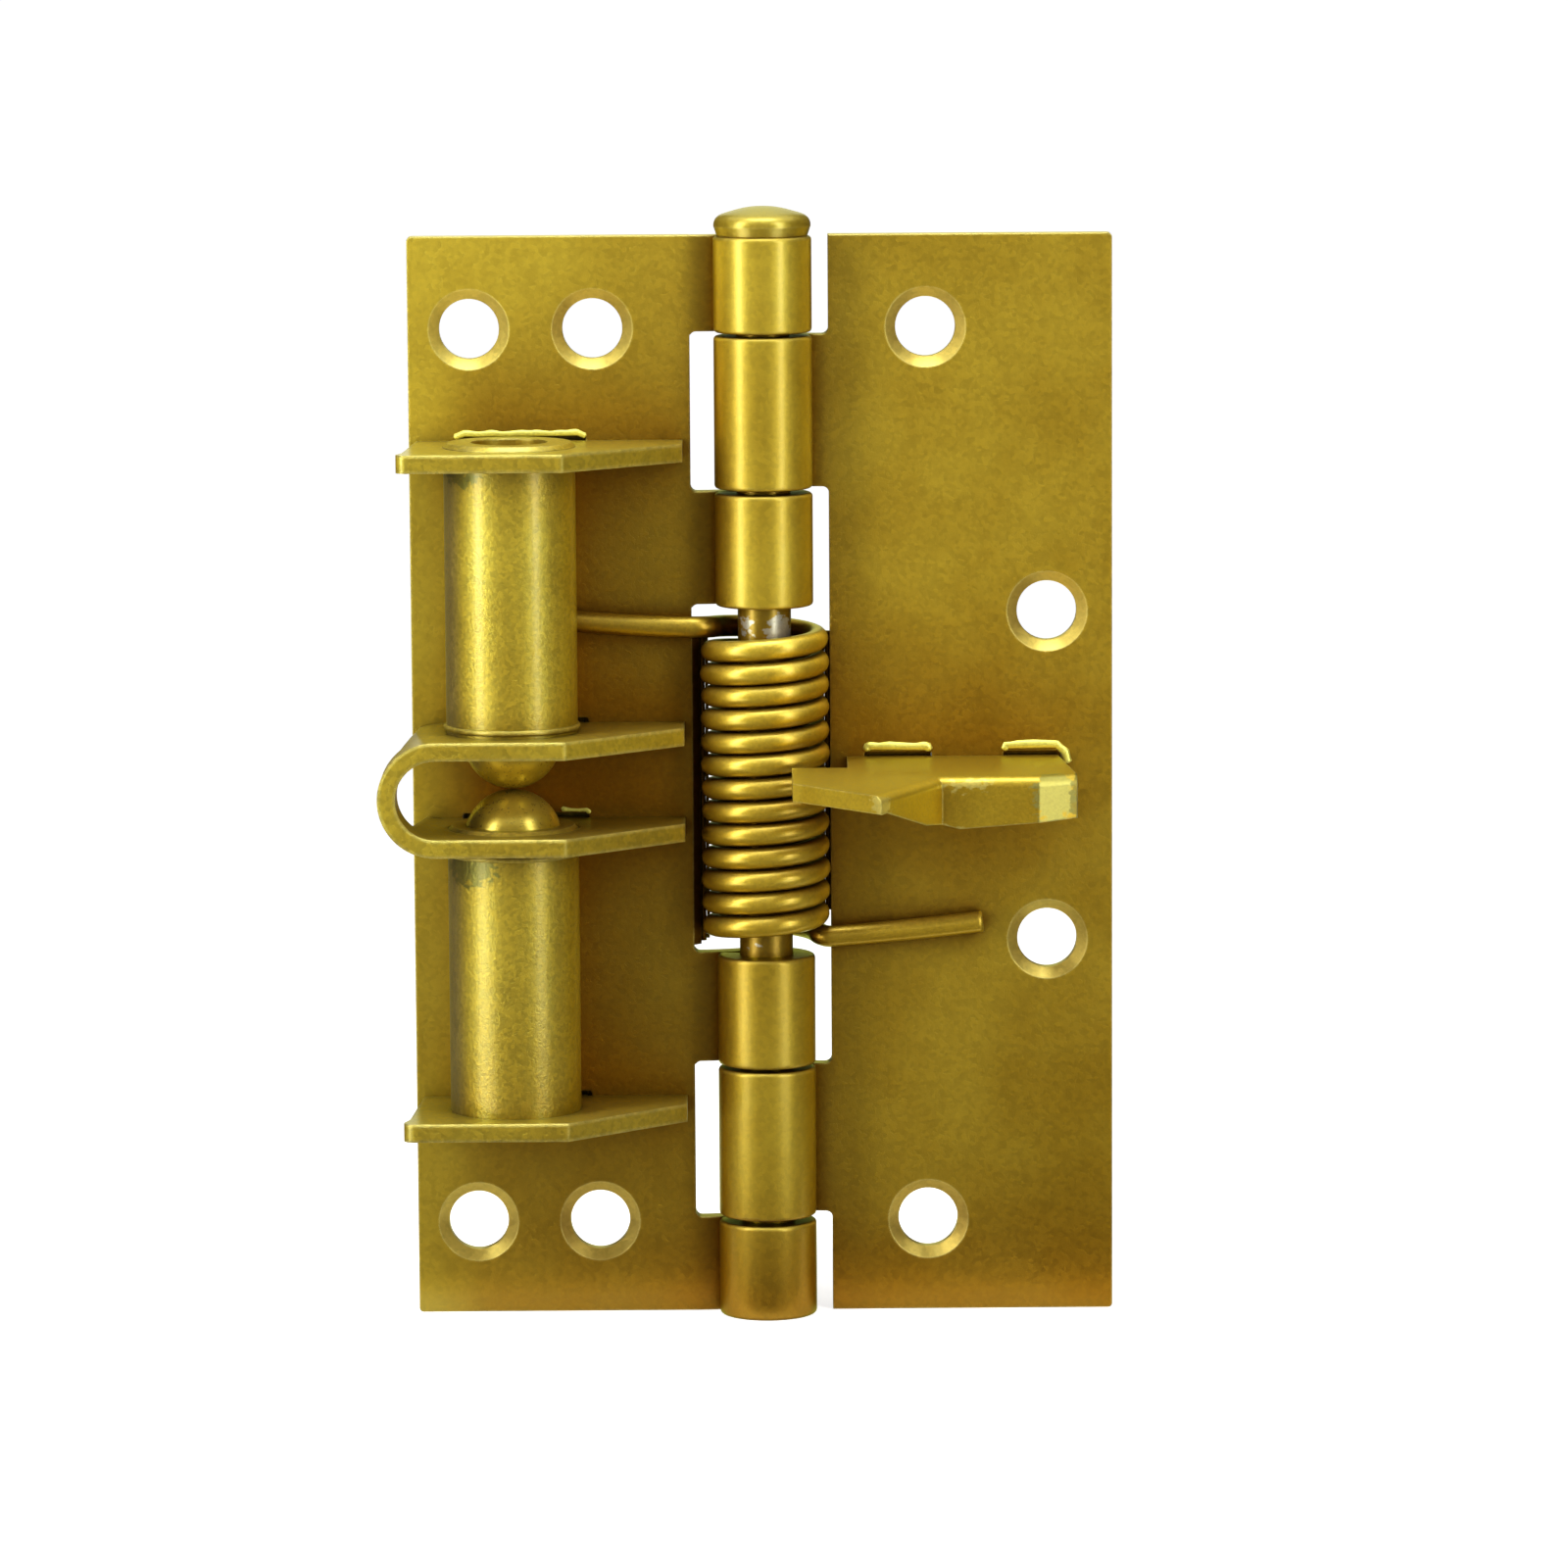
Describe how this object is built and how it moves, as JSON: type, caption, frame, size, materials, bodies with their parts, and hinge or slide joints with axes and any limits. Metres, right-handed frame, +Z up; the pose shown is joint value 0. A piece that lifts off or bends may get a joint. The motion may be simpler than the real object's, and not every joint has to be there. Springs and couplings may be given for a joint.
{
  "type": "spring hinge",
  "caption": "Self-closing leaf hinge with a torsion spring round its pin and a spring-loaded ball catch that holds it open.",
  "frame": {"origin": "centre of the left leaf's four holes, on the back face of the leaves", "axes": "+Z up along the hinge pin, towards its head; +X from the left leaf to the right leaf, opened flat; -Y out of the countersunk front faces"},
  "size_m": [0.0671, 0.0325, 0.1027],
  "materials": {
    "leaf_finish": "satin gold metallic",
    "pin_finish": "satin gold metallic",
    "coil_finish": "satin gold metallic",
    "bracket_finish": "satin gold metallic",
    "tube_finish": "satin gold metallic",
    "ball_finish": "satin gold metallic, polished by the catch",
    "tongue_finish": "satin gold metallic",
    "catch_spring_wire": "bright drawn wire",
    "plug_steel": "bare turned steel"
  },
  "bodies": {
    "fixed_leaf": {"left_leaf": "leaf_finish", "hinge_pin": "pin_finish", "torsion_spring": "coil_finish", "top_end_plate": "bracket_finish", "bottom_end_plate": "bracket_finish", "u_bracket": "bracket_finish", "upper_tube": "tube_finish", "lower_tube": "tube_finish", "upper_tube_plug": "plug_steel", "lower_tube_plug": "plug_steel", "upper_catch_spring": "catch_spring_wire", "lower_catch_spring": "catch_spring_wire"},
    "moving_leaf": {"right_leaf": "leaf_finish", "catch_tongue": "tongue_finish"},
    "upper_catch": {"upper_ball": "ball_finish"},
    "lower_catch": {"lower_ball": "ball_finish"}
  },
  "joints": [
    {"name": "leaf_fold", "type": "hinge", "parent": "fixed_leaf", "child": "moving_leaf", "pos_m": [0.02125, -0.003, 0], "axis": [0, 0, -1], "range_deg": [0, 100], "stiffness_Nm_per_rad": 0.36, "springref_deg": -20.05, "deforming": ["torsion_spring"]},
    {"name": "upper_ball_slide", "type": "slide", "parent": "fixed_leaf", "child": "upper_catch", "axis": [0, 0, 1], "range_m": [0, 0.0024], "deforming": ["upper_catch_spring"]},
    {"name": "lower_ball_slide", "type": "slide", "parent": "fixed_leaf", "child": "lower_catch", "axis": [0, 0, -1], "range_m": [0, 0.0024], "deforming": ["lower_catch_spring"]}
  ],
  "couplings": [
    {"joint": "upper_ball_slide", "follows": "leaf_fold", "m_per_rad": 0.0013178},
    {"joint": "lower_ball_slide", "follows": "leaf_fold", "m_per_rad": 0.0013178}
  ]
}
